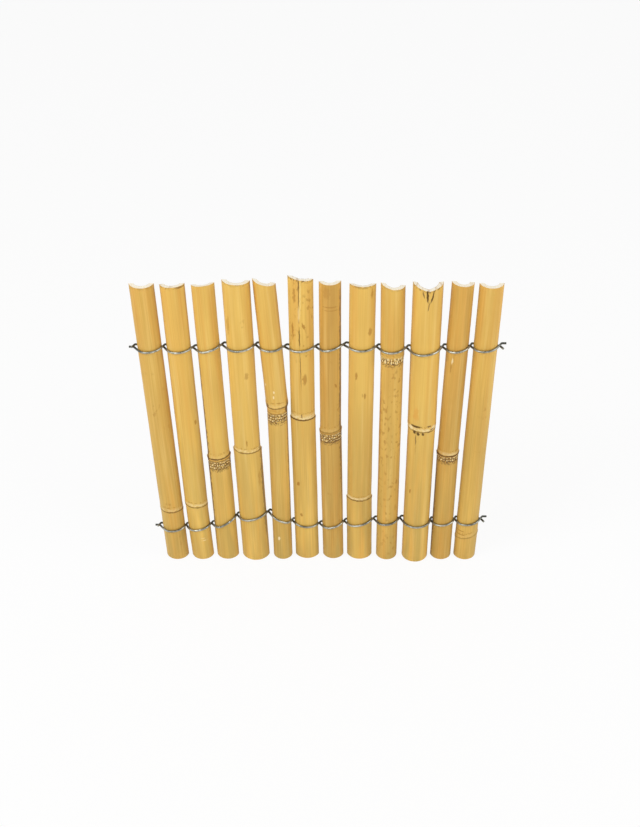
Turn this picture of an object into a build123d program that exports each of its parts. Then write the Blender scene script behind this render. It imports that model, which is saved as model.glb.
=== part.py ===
from build123d import *
import math
import os
from dataclasses import dataclass

# Cane screening mat: twelve split canes side by side, bound by two rows of twisted wire.
# X runs along the mat, Z runs up the canes, and the rounded sides of the canes face -Y.

# Main sizes
CANE_LENGTH = 154.0       # feet to the line of the tops
FOOT_OVERHANG = 21.5      # feet to the lower wire row
TOP_OVERHANG = 32.5       # upper wire row to the line of the tops
CANE_WIDTH = 10.0         # a common cane, across its split edges
CANE_DEPTH = 4.0          # a common cane, from its split edges to the front of its rounded side
MAT_LEAN = 2.0            # how far the tops stand to the left of the feet

# Canes
CANE_WALL = 2.0           # wall of the hollow cane, also the width of its split edges
RING_HEIGHT = 0.45        # how far a node ring stands out at its crest
RING_LEDGE = 0.06         # how far it stands out where it starts and ends
RING_SCAR = 0.9           # from the crest up to the sheath scar, where the ring drops off
RING_FADE = 3.0           # from the crest to the plain cane below and above
WEB_THICKNESS = 1.6       # wall that closes the hollow behind a node

# Wires
WIRE_DIAMETER = 0.9       # across the flats of the wire's section
WIRE_SIDES = 6            # the round wire is drawn with flats
SEAT_CLEARANCE = 0.06     # between a wire and the cane that it binds
TWIST_CLEARANCE = 0.25    # between the two wires of a row where they cross
TAIL_ROOM = 2.6           # free room beside an end cane, where the two wires cross
TAIL_LENGTH = 2.0         # from that crossing to a wire's cut end
TAIL_ANGLE = 60.0         # slant of a tail that comes from behind an end cane
LEAST_EDGE_ANGLE = 60.0   # the rounded side turns at least this far from front to split edge
LEVEL_SHARE = 0.15        # share of a wire's rise that lies beside the front of a cane
FRONT_ROUND = 0.97        # radius of a wire's front bends, as a share of the seat's radius

# Wire rows, above the feet
LOWER_ROW = FOOT_OVERHANG
UPPER_ROW = CANE_LENGTH - TOP_OVERHANG
ROW_SPACING = UPPER_ROW - LOWER_ROW


@dataclass
class Cane:
    """One cane, given in shares of a common cane and of the row spacing, and kept in millimetres."""

    foot_width: float     # across the split edges below the node
    top_width: float      # across the split edges above the node
    foot_slack: float     # spare gap on its left at the feet, beyond the wires' own room
    top_slack: float      # spare gap on its left at the tops
    depth: float          # split edges to the front of the rounded side
    node: float           # node ring above the lower wire row, so that the wires miss it
    bow: float            # sideways kink at the node
    top: float            # height of the saw cut above the line of the tops
    side_slope: float     # degrees by which the saw cut rises to the right
    front_slope: float    # degrees by which the saw cut falls to the front
    foot_x: float = 0.0   # centre at the feet, worked out below
    top_x: float = 0.0    # centre at the tops, worked out below

    def __post_init__(self):
        self.foot_width *= CANE_WIDTH
        self.top_width *= CANE_WIDTH
        self.foot_slack *= CANE_WIDTH
        self.top_slack *= CANE_WIDTH
        self.depth *= CANE_DEPTH
        self.node = LOWER_ROW + self.node * ROW_SPACING
        self.bow *= CANE_WIDTH
        self.top *= CANE_WIDTH


CANES = [
    Cane(1.05, 1.06, 0.00, 0.00, 1.050, 0.085, 0.00, -0.05, 0.0, 0.0),
    Cane(1.04, 1.06, 0.04, 0.09, 1.050, 0.115, -0.05, -0.05, 3.0, -6.0),
    Cane(1.04, 0.99, 0.03, 0.12, 1.000, 0.405, 0.00, -0.06, 7.0, -14.0),
    Cane(1.28, 1.18, 0.06, 0.17, 1.200, 0.445, -0.04, 0.12, -2.5, -3.0),
    Cane(0.90, 0.98, 0.07, -0.04, 1.025, 0.695, 0.20, 0.08, -14.0, 0.0),
    Cane(1.11, 1.07, 0.03, 0.36, 0.875, 0.625, -0.04, 0.30, -10.0, -5.0),
    Cane(0.98, 0.94, 0.07, 0.09, 0.900, 0.555, -0.05, 0.07, 2.0, 0.0),
    Cane(1.18, 1.12, 0.04, 0.21, 1.000, 0.155, -0.04, -0.05, 0.0, -12.0),
    Cane(0.99, 1.04, 0.08, 0.05, 1.100, 0.950, 0.04, -0.07, -8.0, 0.0),
    Cane(1.23, 1.28, 0.11, 0.17, 1.500, 0.575, 0.03, 0.05, 0.0, 0.0),
    Cane(0.99, 0.96, 0.01, 0.20, 1.075, 0.425, -0.05, 0.03, -4.0, 0.0),
    Cane(1.04, 1.04, 0.00, 0.07, 1.100, -0.075, 0.00, -0.04, 0.0, 0.0),
]

# Height of each wire crossing above its row, from the left end of the mat to the right
LOWER_SAG = (-3.0, -3.0, -2.0, 3.5, 5.5, 0.0, -2.0, -0.5, 1.0, 1.5, 0.5, 1.0, 1.0)
UPPER_SAG = (0.0, 0.0, -0.5, 1.0, 1.0, 0.0, 0.0, 1.0, 0.0, -0.5, 0.0, 0.5, 0.5)

# Sizes that follow
RAW_FOOT = -CANE_WIDTH                              # the canes are sawn to length at both ends
RAW_TOP = CANE_LENGTH + CANE_WIDTH
WIRE_CORNER = WIRE_DIAMETER / 2 / math.cos(math.pi / WIRE_SIDES)
SEAT_OFFSET = WIRE_CORNER + SEAT_CLEARANCE
TWIST_RISE = WIRE_CORNER + TWIST_CLEARANCE / 2
WIRE_ROOM = 2 * SEAT_OFFSET / math.sin(math.radians(LEAST_EDGE_ANGLE))
SPLIT_Y = max(cane.depth for cane in CANES) / 2     # the split edges lie on this plane


def place_canes():
    """Lay the canes side by side at the feet and at the tops, centred at the upper wire row."""
    gaps = len(CANES) - 1
    foot_total = sum(cane.foot_width + cane.foot_slack for cane in CANES) + gaps * WIRE_ROOM
    top_total = sum(cane.top_width + cane.top_slack for cane in CANES) + gaps * WIRE_ROOM
    foot_shift = MAT_LEAN * UPPER_ROW / CANE_LENGTH
    foot_edge = foot_shift - foot_total / 2
    top_edge = foot_shift - MAT_LEAN - top_total / 2
    for cane in CANES:
        cane.foot_x = foot_edge + cane.foot_slack + cane.foot_width / 2
        cane.top_x = top_edge + cane.top_slack + cane.top_width / 2
        foot_edge = cane.foot_x + cane.foot_width / 2 + WIRE_ROOM
        top_edge = cane.top_x + cane.top_width / 2 + WIRE_ROOM


def centre_at(cane, height):
    """X of a cane's middle at a height."""
    along = height / CANE_LENGTH
    straight = cane.foot_x + (cane.top_x - cane.foot_x) * along
    if height < cane.node:
        return straight + cane.bow * height / cane.node
    return straight + cane.bow * (CANE_LENGTH - height) / (CANE_LENGTH - cane.node)


def half_width_at(cane, height):
    """Half of a plain cane's width at a height: one width up to its node, another past the scar."""
    past_node = (height - cane.node) / RING_SCAR
    past_node = min(max(past_node, 0.0), 1.0)
    return (cane.foot_width + (cane.top_width - cane.foot_width) * past_node) / 2


def length_plane(cane, start, end):
    """Plane across a leaning length of cane at its lower end, with its X on the split edges."""
    lean = centre_at(cane, end) - centre_at(cane, start)
    rise = end - start
    return Plane(
        origin=(centre_at(cane, start), SPLIT_Y, start),
        x_dir=(rise, 0, -lean),
        z_dir=(lean, 0, rise),
    )


def slant_length(cane, start, end):
    """Length of a cane between two heights, along its lean."""
    return math.hypot(end - start, centre_at(cane, end) - centre_at(cane, start))


def draw_half_round(half, depth, x=0.0, y=0.0):
    """Outline of a half-round section, with the middle of its flat side at a point."""
    ThreePointArc((x - half, y), (x, y - depth), (x + half, y))
    Line((x + half, y), (x - half, y))


def seat_circle(cane, height):
    """Centre and radius of the circle that a wire's middle follows round a cane's front."""
    half = half_width_at(cane, height)
    radius = (half**2 + cane.depth**2) / (2 * cane.depth)
    middle = Vector(centre_at(cane, height), SPLIT_Y - cane.depth + radius)
    return middle, radius + SEAT_OFFSET


def crossings(row, sag):
    """Points in the gaps, and past both end canes, where the two wires of a row cross."""
    points = []
    for gap, rise in enumerate(sag):
        height = row + rise
        if gap == 0:
            x = centre_at(CANES[0], height) - half_width_at(CANES[0], height) - TAIL_ROOM / 2
        elif gap == len(CANES):
            x = centre_at(CANES[-1], height) + half_width_at(CANES[-1], height) + TAIL_ROOM / 2
        else:
            left, right = CANES[gap - 1], CANES[gap]
            left_edge = centre_at(left, height) + half_width_at(left, height)
            right_edge = centre_at(right, height) - half_width_at(right, height)
            x = (left_edge + right_edge) / 2
        points.append(Vector(x, SPLIT_Y, height))
    return points


def leaving_angle(middle, radius, crossing):
    """Angle, from the front of a cane, at which a taut wire leaves it for a crossing."""
    across = abs(crossing.X - middle.X)
    ahead = middle.Y - crossing.Y
    reach = math.hypot(across, ahead)
    return math.atan2(across, ahead) - math.acos(radius / reach)


def wire_route(row, sag, first_front):
    """Corner points and bend radii of one wire, which passes every other cane in front."""
    gaps = crossings(row, sag)
    tail_angle = math.radians(TAIL_ANGLE)
    seats = {}
    for number in range(0 if first_front else 1, len(CANES), 2):
        height = (gaps[number].Z + gaps[number + 1].Z) / 2
        middle, radius = seat_circle(CANES[number], height)
        left = leaving_angle(middle, radius, gaps[number])
        right = leaving_angle(middle, radius, gaps[number + 1])
        seats[number] = (middle, radius, left, right)

    points = []
    radii = []

    def pass_front(number):
        middle, radius, left, right = seats[number]
        low = gaps[number].Z - TWIST_RISE
        high = gaps[number + 1].Z + TWIST_RISE
        level = (high - low) * LEVEL_SHARE
        quarter_turn = (left + right) / 4
        reach = radius / math.cos(quarter_turn)
        for angle, height in ((quarter_turn - left, low + level), (right - quarter_turn, high - level)):
            x = middle.X + reach * math.sin(angle)
            y = middle.Y - reach * math.cos(angle)
            points.append(Vector(x, y, height))
            radii.append(radius * FRONT_ROUND)

    def turn_behind(gap, angle, side):
        x = gaps[gap].X + side * SEAT_OFFSET / math.tan(angle)
        points.append(Vector(x, SPLIT_Y + SEAT_OFFSET, gaps[gap].Z + side * TWIST_RISE))
        radii.append(0.0)

    last = len(CANES) - 1
    for number in range(len(CANES)):
        if number in seats:
            if number == 0:
                turn_behind(0, seats[0][2], -1)
                points.insert(0, points[0] - Vector(TAIL_LENGTH, 0, 0))
            pass_front(number)
            if number == last:
                turn_behind(last + 1, seats[last][3], 1)
                points.append(points[-1] + Vector(TAIL_LENGTH, 0, 0))
        else:
            came_at = seats[number - 1][3] if number > 0 else tail_angle
            goes_at = seats[number + 1][2] if number < last else tail_angle
            slant = Vector(math.cos(tail_angle), math.sin(tail_angle)) * TAIL_LENGTH
            if number == 0:
                points.append(gaps[0] - slant + Vector(0, 0, TWIST_RISE))
            turn_behind(number, came_at, 1)
            turn_behind(number + 1, goes_at, -1)
            if number == last:
                points.append(gaps[-1] + Vector(slant.X, -slant.Y, -TWIST_RISE))
    return points, radii


os.makedirs("parts", exist_ok=True)
place_canes()

# Canes: two half-round lengths joined by a node ring, hollowed up to the node's web and sawn off
RING_PROFILE = (
    (-RING_FADE, RING_LEDGE),
    (0.0, RING_HEIGHT),
    (RING_SCAR, RING_HEIGHT / 3),
    (RING_FADE, RING_LEDGE),
)
for number, cane in enumerate(CANES, start=1):
    web = WEB_THICKNESS / 2
    lengths = (
        (RAW_FOOT, cane.node, cane.foot_width),
        (cane.node, RAW_TOP, cane.top_width),
    )
    hollows = (
        (RAW_FOOT, cane.node - web, cane.foot_width),
        (cane.node + web, RAW_TOP, cane.top_width),
    )
    with BuildPart() as stalk:
        for start, end, width in lengths:
            with BuildSketch(length_plane(cane, start, end)):
                with BuildLine():
                    draw_half_round(width / 2, cane.depth)
                make_face()
            extrude(amount=slant_length(cane, start, end))

        for rise, growth in RING_PROFILE:
            height = cane.node + rise
            half = half_width_at(cane, height) + growth
            with BuildSketch(Plane.XY.offset(height)):
                with BuildLine():
                    draw_half_round(half, cane.depth + growth, centre_at(cane, height), SPLIT_Y)
                make_face()
        loft(ruled=True)

        for start, end, width in hollows:
            with BuildSketch(length_plane(cane, start, end)):
                with BuildLine():
                    draw_half_round(width / 2 - CANE_WALL, cane.depth - CANE_WALL)
                make_face()
            extrude(amount=slant_length(cane, start, end), mode=Mode.SUBTRACT)

        rise = math.tan(math.radians(cane.side_slope))
        fall = math.tan(math.radians(cane.front_slope))
        saw_cut = Plane(
            origin=(cane.top_x, SPLIT_Y, CANE_LENGTH + cane.top),
            z_dir=(-rise, -fall, 1),
        )
        split(bisect_by=saw_cut, keep=Keep.BOTTOM)
        split(bisect_by=Plane.XY, keep=Keep.TOP)
    stalk.part.label = f"cane_{number:02d}"
    export_step(stalk.part, f"parts/{stalk.part.label}.step")

# Wires: two to a row, one in front of every other cane and one in front of the rest
ROWS = (("lower", LOWER_ROW, LOWER_SAG), ("upper", UPPER_ROW, UPPER_SAG))
for row_name, row, sag in ROWS:
    for strand_name, first_front in (("first", True), ("second", False)):
        points, radii = wire_route(row, sag, first_front)
        with BuildPart() as wire:
            with BuildLine() as route:
                FilletPolyline(*points, radius=radii)
            with BuildSketch(Plane(origin=route.line @ 0, z_dir=route.line % 0)):
                RegularPolygon(WIRE_DIAMETER / 2, WIRE_SIDES, major_radius=False)
            sweep(transition=Transition.RIGHT)
        wire.part.label = f"{row_name}_wire_{strand_name}"
        export_step(wire.part, f"parts/{wire.part.label}.step")
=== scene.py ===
import bpy
import math
from dataclasses import dataclass
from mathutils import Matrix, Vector


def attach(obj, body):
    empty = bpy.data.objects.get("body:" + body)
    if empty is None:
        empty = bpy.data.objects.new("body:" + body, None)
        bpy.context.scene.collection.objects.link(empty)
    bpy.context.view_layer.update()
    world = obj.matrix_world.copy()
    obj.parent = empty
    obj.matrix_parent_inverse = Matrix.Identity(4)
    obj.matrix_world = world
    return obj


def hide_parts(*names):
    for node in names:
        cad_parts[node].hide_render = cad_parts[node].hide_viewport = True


# Looks of a cane screening mat: split canes with their nodes, skins and sawn ends, bound by twisted wire.
# The sizes and the rules of the canes and wires are those of the CAD source, here in metres.

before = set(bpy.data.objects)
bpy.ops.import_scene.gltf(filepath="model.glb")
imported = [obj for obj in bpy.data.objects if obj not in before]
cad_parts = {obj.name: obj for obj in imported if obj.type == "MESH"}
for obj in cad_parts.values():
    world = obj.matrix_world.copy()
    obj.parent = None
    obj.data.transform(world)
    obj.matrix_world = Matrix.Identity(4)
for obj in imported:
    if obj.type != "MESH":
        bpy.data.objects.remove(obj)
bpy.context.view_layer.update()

MM = 0.001

# Canes
CANE_LENGTH = 154 * MM
CANE_WIDTH = 10 * MM
CANE_DEPTH = 4 * MM
MAT_LEAN = 2 * MM            # how far the tops stand to the left of the feet
CANE_WALL = 2 * MM
RING_HEIGHT = 0.45 * MM      # how far a full node ring stands out at its crest
RING_SCAR = 0.9 * MM         # from the crest up to the sheath scar
RING_FADE = 3 * MM           # from the crest to the plain cane below and above
SCAR_DROP = 2 / 3            # share of the ring's height that is lost at the scar
WEB_THICKNESS = 1.6 * MM     # wall that closes the hollow behind a node
SKIN_WAVE = 0.11 * MM        # how far the skin swells and shrinks by itself
WAVE_LENGTH = 18 * MM        # length of such a swelling
WAVES_ROUND = 1.5            # swellings from the middle of a cane to its split edge
CRACK_WIDTH = 0.7 * MM       # across a drying crack at the skin
CRACK_TAPER = 10 * MM        # length over which a crack runs out
TOOTH_WIDTH = 0.9 * MM       # across a tooth of a torn saw cut

# Wires
LOWER_ROW = 21.5 * MM
UPPER_ROW = 121.5 * MM
WIRE_DIAMETER = 0.9 * MM
WIRE_CORNER = WIRE_DIAMETER / 2 / math.cos(math.pi / 6)   # to a corner of the solid's six-sided section
WIRE_RADIUS = 0.48 * MM      # of the round wire, between the flats and the corners of that section
WIRE_SIDES = 14
BEND_STEPS = 12              # short straight lengths in each bend
SEAT_CLEARANCE = 0.06 * MM   # between a wire and the cane that it binds
TWIST_CLEARANCE = 0.25 * MM  # between the two wires of a row where they cross
SEAT_OFFSET = WIRE_CORNER + SEAT_CLEARANCE
TWIST_RISE = WIRE_CORNER + TWIST_CLEARANCE / 2
LEAST_EDGE_ANGLE = math.radians(60)   # the rounded side turns at least this far from front to split edge
WIRE_ROOM = 2 * SEAT_OFFSET / math.sin(LEAST_EDGE_ANGLE)
TAIL_ROOM = 2.6 * MM         # free room beside an end cane, where the two wires cross
TAIL_LENGTH = 2 * MM         # from that crossing to a wire's cut end
TAIL_ANGLE = math.radians(60)   # slant of a tail that comes from behind an end cane
LEVEL_SHARE = 0.15           # share of a wire's rise that lies beside the front of a cane
FRONT_ROUND = 0.97           # radius of a wire's front bends, as a share of the seat's radius
BACK_BEND = 0.5 * MM         # radius of the bends behind the canes

# Height of each crossing above its row, in millimetres, from the left end to the right end
LOWER_SAG = (-3.0, -3.0, -2.0, 3.5, 5.5, 0.0, -2.0, -0.5, 1.0, 1.5, 0.5, 1.0, 1.0)
UPPER_SAG = (0.0, 0.0, -0.5, 1.0, 1.0, 0.0, 0.0, 1.0, 0.0, -0.5, 0.0, 0.5, 0.5)

# Mesh of a cane: columns go once round its wall, levels go up it
ARC_COLUMNS = 60
EDGE_COLUMNS = 2
COLUMNS = 2 * (ARC_COLUMNS + EDGE_COLUMNS)
HOLLOW_START = ARC_COLUMNS + EDGE_COLUMNS
HOLLOW_END = COLUMNS - EDGE_COLUMNS
WEB_STEP = 0.03 * MM         # height over which the hollow closes to the web
CUT_ZONE = 12 * MM           # length below the top that slants with the saw cut
LEAST_HOLLOW = 0.02 * MM     # depth of the hollow where the web closes it
WELD_DISTANCE = 0.005 * MM   # points nearer than this become one
CANE_CREASE = math.radians(40)   # edges that turn more than this stay sharp
WIRE_CREASE = math.radians(50)   # the same for a wire

# What a cane's faces carry for its material
SURFACE_MAP = "cane_surface"     # metres across and along the skin
WALL_SHARE = "wall_share"        # 0 at the skin, 1 in the hollow
FACE_KIND = "face_kind"
SPLIT_FACE, HOLLOW_FACE, SAWN_FACE, ROOT_FACE = 1, 2, 3, 4   # kinds of face; the skin is 0
CAP_SHARE = 0.25                 # a face with more than this share of an end cap is sawn

# Root scars: rows of small knobs below a node
ROOTS_PER_ROW = 13
ROOT_PITCH = 1.5 * MM        # from one row to the next
ROOT_STRAY = 0.6 * MM        # how far a knob may lie below its row
ROOT_SHIFT = (0.1, 0.9)      # where a knob may lie in its share of the row
ROW_START = -0.9             # left end of a row, where -1 and 1 are the split edges
ROW_SPAN = 1.7               # from there to its right end
KNOB_RADIUS = 0.3 * MM
KNOB_SIZES = (0.5, 1.2)      # least and most, as shares of that radius
KNOB_STRETCH = (0.8, 1.5)    # length of a knob, as a share of its width
KNOB_FLATNESS = 0.55         # how far it stands out, as a share of its width

# Fixed steps that give each cane its own part of the noise
SHAPE_SEED_STEP = 3.7
SKIN_SEED_STEP = 7.3

# Colours, as linear light
GOLD = (0.80, 0.510, 0.108, 1)
HONEY = (0.72, 0.375, 0.065, 1)
AMBER = (0.58, 0.270, 0.025, 1)
TAN = (0.55, 0.305, 0.057, 1)
STRAW = (0.84, 0.600, 0.190, 1)
KHAKI = (0.47, 0.325, 0.080, 1)
CREAM = (0.88, 0.740, 0.420, 1)
PITH = (0.95, 0.890, 0.730, 1)
BUFF = (0.86, 0.680, 0.330, 1)
BARK = (0.41, 0.180, 0.018, 1)
UMBER = (0.14, 0.062, 0.013, 1)
CRACK = (0.065, 0.026, 0.003, 1)
BRIGHT_ZINC = (0.55, 0.55, 0.49, 1)
DULL_ZINC = (0.27, 0.28, 0.23, 1)
DARK_ZINC = (0.04, 0.04, 0.028, 1)


class Value:
    """An output socket of a node. Python's operators on it add Math nodes to its tree."""

    def __init__(self, tree, socket):
        self.tree = tree
        self.socket = socket

    def __getitem__(self, name):
        return Value(self.tree, self.socket.node.outputs[name])

    def math(self, operation, *values):
        return self.tree.add("ShaderNodeMath", {"operation": operation}, dict(enumerate(values)))

    def __add__(self, other):
        return self.math("ADD", self, other)

    def __radd__(self, other):
        return self.math("ADD", other, self)

    def __sub__(self, other):
        return self.math("SUBTRACT", self, other)

    def __rsub__(self, other):
        return self.math("SUBTRACT", other, self)

    def __mul__(self, other):
        return self.math("MULTIPLY", self, other)

    def __rmul__(self, other):
        return self.math("MULTIPLY", other, self)

    def __truediv__(self, other):
        return self.math("DIVIDE", self, other)

    def __rtruediv__(self, other):
        return self.math("DIVIDE", other, self)

    def __abs__(self):
        return self.math("ABSOLUTE", self)

    def lower_of(self, other):
        return self.math("MINIMUM", self, other)

    def higher_of(self, other):
        return self.math("MAXIMUM", self, other)

    def over(self, limit):
        return self.math("GREATER_THAN", self, limit)

    def ramp(self, start, end, smooth=False):
        """0 at start and 1 at end, and level outside them."""
        kind = "SMOOTHSTEP" if smooth else "LINEAR"
        return self.tree.add("ShaderNodeMapRange", {"interpolation_type": kind},
                             {0: self, 1: start, 2: end})

    def band(self, start, full, fading, end):
        """0 at start, 1 from full to fading, and 0 again at end."""
        return self.ramp(start, full, smooth=True) * self.ramp(end, fading, smooth=True)


class Tree:
    """A node tree, written as calls that add a node and hand back one of its outputs."""

    def __init__(self, nodes):
        self.nodes = nodes

    def fill(self, node, sockets):
        """Set or link the inputs of a node. A list links several outputs to one input."""
        for key, value in sockets.items():
            items = value if isinstance(value, list) else [value]
            for item in items:
                if isinstance(item, Value):
                    self.nodes.links.new(item.socket, node.inputs[key])
                else:
                    node.inputs[key].default_value = item

    def add(self, kind, settings=None, sockets=None, output=0):
        """Add a node with its settings and inputs, and hand back an output, if it has any."""
        node = self.nodes.nodes.new(kind)
        for name, value in (settings or {}).items():
            setattr(node, name, value)
        self.fill(node, sockets or {})
        return Value(self, node.outputs[output]) if node.outputs else None

    def blend(self, share, first, second):
        """A colour that goes from the first to the second."""
        return self.add("ShaderNodeMix", {"data_type": "RGBA"}, {0: share, 6: first, 7: second}, output=2)

    def vector(self, x, y, z):
        return self.add("ShaderNodeCombineXYZ", None, {0: x, 1: y, 2: z})

    def noise(self, place, detail=2.0):
        return self.add("ShaderNodeTexNoise", None, {"Vector": place, "Scale": 1.0, "Detail": detail})

    def random(self, low, high, seed):
        """A fixed random number for each point."""
        return self.add("FunctionNodeRandomValue", {"data_type": "FLOAT"},
                        {2: low, 3: high, 8: seed}, output=1)

    def store(self, geometry, name, value, domain, kind="FLOAT"):
        """Keep a value on a mesh under a name."""
        return self.add("GeometryNodeStoreNamedAttribute", {"data_type": kind, "domain": domain},
                        {"Geometry": geometry, "Name": name, "Value": value})

    def shade(self, geometry, crease):
        """Smooth shading, apart from the edges that turn more than the crease angle."""
        smooth = self.add("GeometryNodeSetShadeSmooth", None, {"Geometry": geometry})
        sharp = self.add("GeometryNodeInputMeshEdgeAngle").over(crease)
        return self.add("GeometryNodeSetShadeSmooth", {"domain": "EDGE"},
                        {"Geometry": smooth, "Selection": sharp, "Shade Smooth": False})


def new_material(name):
    """A new material, and its node tree."""
    material = bpy.data.materials.new(name)
    material.use_nodes = True
    return material, Tree(material.node_tree)


# The canes

@dataclass
class Cane:
    """One cane, given in shares of a common cane and of the row spacing, and kept in metres."""

    foot_width: float     # across the split edges below the node
    top_width: float      # across the split edges above the node
    foot_slack: float     # spare gap on its left at the feet
    top_slack: float      # spare gap on its left at the tops
    depth: float          # split edges to the front of the rounded side
    node: float           # node ring above the lower wire row
    bow: float            # sideways kink at the node
    top: float            # saw cut above the line of the tops
    side_slope: float     # degrees by which the saw cut rises to the right
    front_slope: float    # degrees by which the saw cut falls to the front
    foot_x: float = 0.0   # centre at the feet, worked out below
    top_x: float = 0.0    # centre at the tops, worked out below

    def __post_init__(self):
        self.foot_width *= CANE_WIDTH
        self.top_width *= CANE_WIDTH
        self.foot_slack *= CANE_WIDTH
        self.top_slack *= CANE_WIDTH
        self.depth *= CANE_DEPTH
        self.node = LOWER_ROW + self.node * (UPPER_ROW - LOWER_ROW)
        self.bow *= CANE_WIDTH
        self.top *= CANE_WIDTH


CANES = [
    Cane(1.05, 1.06, 0.00, 0.00, 1.050, 0.085, 0.00, -0.05, 0.0, 0.0),
    Cane(1.04, 1.06, 0.04, 0.09, 1.050, 0.115, -0.05, -0.05, 3.0, -6.0),
    Cane(1.04, 0.99, 0.03, 0.12, 1.000, 0.405, 0.00, -0.06, 7.0, -14.0),
    Cane(1.28, 1.18, 0.06, 0.17, 1.200, 0.445, -0.04, 0.12, -2.5, -3.0),
    Cane(0.90, 0.98, 0.07, -0.04, 1.025, 0.695, 0.20, 0.08, -14.0, 0.0),
    Cane(1.11, 1.07, 0.03, 0.36, 0.875, 0.625, -0.04, 0.30, -10.0, -5.0),
    Cane(0.98, 0.94, 0.07, 0.09, 0.900, 0.555, -0.05, 0.07, 2.0, 0.0),
    Cane(1.18, 1.12, 0.04, 0.21, 1.000, 0.155, -0.04, -0.05, 0.0, -12.0),
    Cane(0.99, 1.04, 0.08, 0.05, 1.100, 0.950, 0.04, -0.07, -8.0, 0.0),
    Cane(1.23, 1.28, 0.11, 0.17, 1.500, 0.575, 0.03, 0.05, 0.0, 0.0),
    Cane(0.99, 0.96, 0.01, 0.20, 1.075, 0.425, -0.05, 0.03, -4.0, 0.0),
    Cane(1.04, 1.04, 0.00, 0.07, 1.100, -0.075, 0.00, -0.04, 0.0, 0.0),
]
SPLIT_Y = max(cane.depth for cane in CANES) / 2


def place_canes():
    """Lay the canes side by side at the feet and at the tops, centred at the upper wire row."""
    gaps = len(CANES) - 1
    foot_total = sum(cane.foot_width + cane.foot_slack for cane in CANES) + gaps * WIRE_ROOM
    top_total = sum(cane.top_width + cane.top_slack for cane in CANES) + gaps * WIRE_ROOM
    foot_shift = MAT_LEAN * UPPER_ROW / CANE_LENGTH
    foot_edge = foot_shift - foot_total / 2
    top_edge = foot_shift - MAT_LEAN - top_total / 2
    for cane in CANES:
        cane.foot_x = foot_edge + cane.foot_slack + cane.foot_width / 2
        cane.top_x = top_edge + cane.top_slack + cane.top_width / 2
        foot_edge = cane.foot_x + cane.foot_width / 2 + WIRE_ROOM
        top_edge = cane.top_x + cane.top_width / 2 + WIRE_ROOM


def geometry_tree(name, sizes):
    """A new Geometry Nodes tree, with its inputs by name."""
    group = bpy.data.node_groups.new(name, "GeometryNodeTree")
    group.interface.new_socket("Geometry", in_out="INPUT", socket_type="NodeSocketGeometry")
    for label, kind in sizes.items():
        group.interface.new_socket(label, in_out="INPUT", socket_type=kind)
    group.interface.new_socket("Geometry", in_out="OUTPUT", socket_type="NodeSocketGeometry")
    tree = Tree(group)
    start = group.nodes.new("NodeGroupInput")
    inputs = {socket.name: Value(tree, socket) for socket in start.outputs if socket.name}
    return tree, inputs


def finish_tree(tree, geometry, material):
    """End a Geometry Nodes tree with real faces that have their material."""
    real = tree.add("GeometryNodeRealizeInstances", None, {"Geometry": geometry})
    dressed = tree.add("GeometryNodeSetMaterial", None, {"Geometry": real, "Material": material})
    tree.add("NodeGroupOutput", None, {"Geometry": dressed})


def grow(name, mesh, group, values):
    """Run a Geometry Nodes tree on a mesh, and keep the result as a plain mesh."""
    piece = bpy.data.objects.new(name, mesh)
    shape = piece.modifiers.new("shape", "NODES")
    shape.node_group = group
    inputs = [item for item in group.interface.items_tree if item.in_out == "INPUT"]
    identifiers = {item.name: item.identifier for item in inputs}
    for label, value in values.items():
        shape[identifiers[label]] = value
    bpy.context.scene.collection.objects.link(piece)
    graph = bpy.context.evaluated_depsgraph_get()
    grown = bpy.data.meshes.new_from_object(piece.evaluated_get(graph), depsgraph=graph)
    piece.modifiers.clear()
    piece.data = grown
    grown.name = name
    return piece


CANE_SIZES = ("Foot Centre", "Top Centre", "Bow", "Node Height", "Cut Height", "Lower Width",
              "Upper Width", "Depth", "Side Slope", "Front Slope", "Notch", "Raggedness", "Ring Share",
              "Node Tilt", "Root Drop", "Root Length", "Crack Across", "Crack Foot", "Crack Depth", "Seed")


def cane_middle(size, height):
    """X of a cane's middle at a height."""
    node = size["Node Height"]
    straight = size["Foot Centre"] + (size["Top Centre"] - size["Foot Centre"]) * height / CANE_LENGTH
    below = height / node
    above = (CANE_LENGTH - height) / (CANE_LENGTH - node)
    return straight + size["Bow"] * below.lower_of(above)


def half_round(turn, half, depth):
    """Offsets to the right and to the back of a point on a half-round, and its length along the arc."""
    radius = (half * half + depth * depth) / (2 * depth)
    angle = turn * 2 * depth.math("ARCTAN2", depth, half)
    right = radius * angle.math("SINE", angle)
    back = radius - depth - radius * angle.math("COSINE", angle)
    return right, back, radius * angle


def ring_growth(size, past):
    """How far the skin stands out at a height past the node's crest."""
    rise = past.ramp(-RING_FADE, 0.0, smooth=True)
    drop = past.ramp(0.0, RING_SCAR, smooth=True) * SCAR_DROP
    fade = past.ramp(RING_SCAR, RING_FADE) * (1 - SCAR_DROP)
    return (rise - drop - fade) * RING_HEIGHT * size["Ring Share"]


def cane_front(tree, size, turn, height):
    """Half width of the plain cane, and how far its skin stands out from it."""
    lean = turn * size["Lower Width"] * size["Node Tilt"] / 2
    past = height - size["Node Height"] - lean
    widening = size["Upper Width"] - size["Lower Width"]
    half = (size["Lower Width"] + widening * past.ramp(0.0, RING_SCAR)) / 2
    wave = tree.noise(tree.vector(turn * WAVES_ROUND + size["Seed"], height / WAVE_LENGTH, size["Seed"]))
    growth = ring_growth(size, past) + (wave - 0.5) * (2 * SKIN_WAVE)
    plain_run = half_round(turn, half, size["Depth"])[2]
    groove = abs(plain_run - size["Crack Across"]).ramp(CRACK_WIDTH / 2, 0.0)
    groove = groove * height.ramp(size["Crack Foot"], size["Crack Foot"] + CRACK_TAPER)
    return half, growth - groove * size["Crack Depth"]


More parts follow.
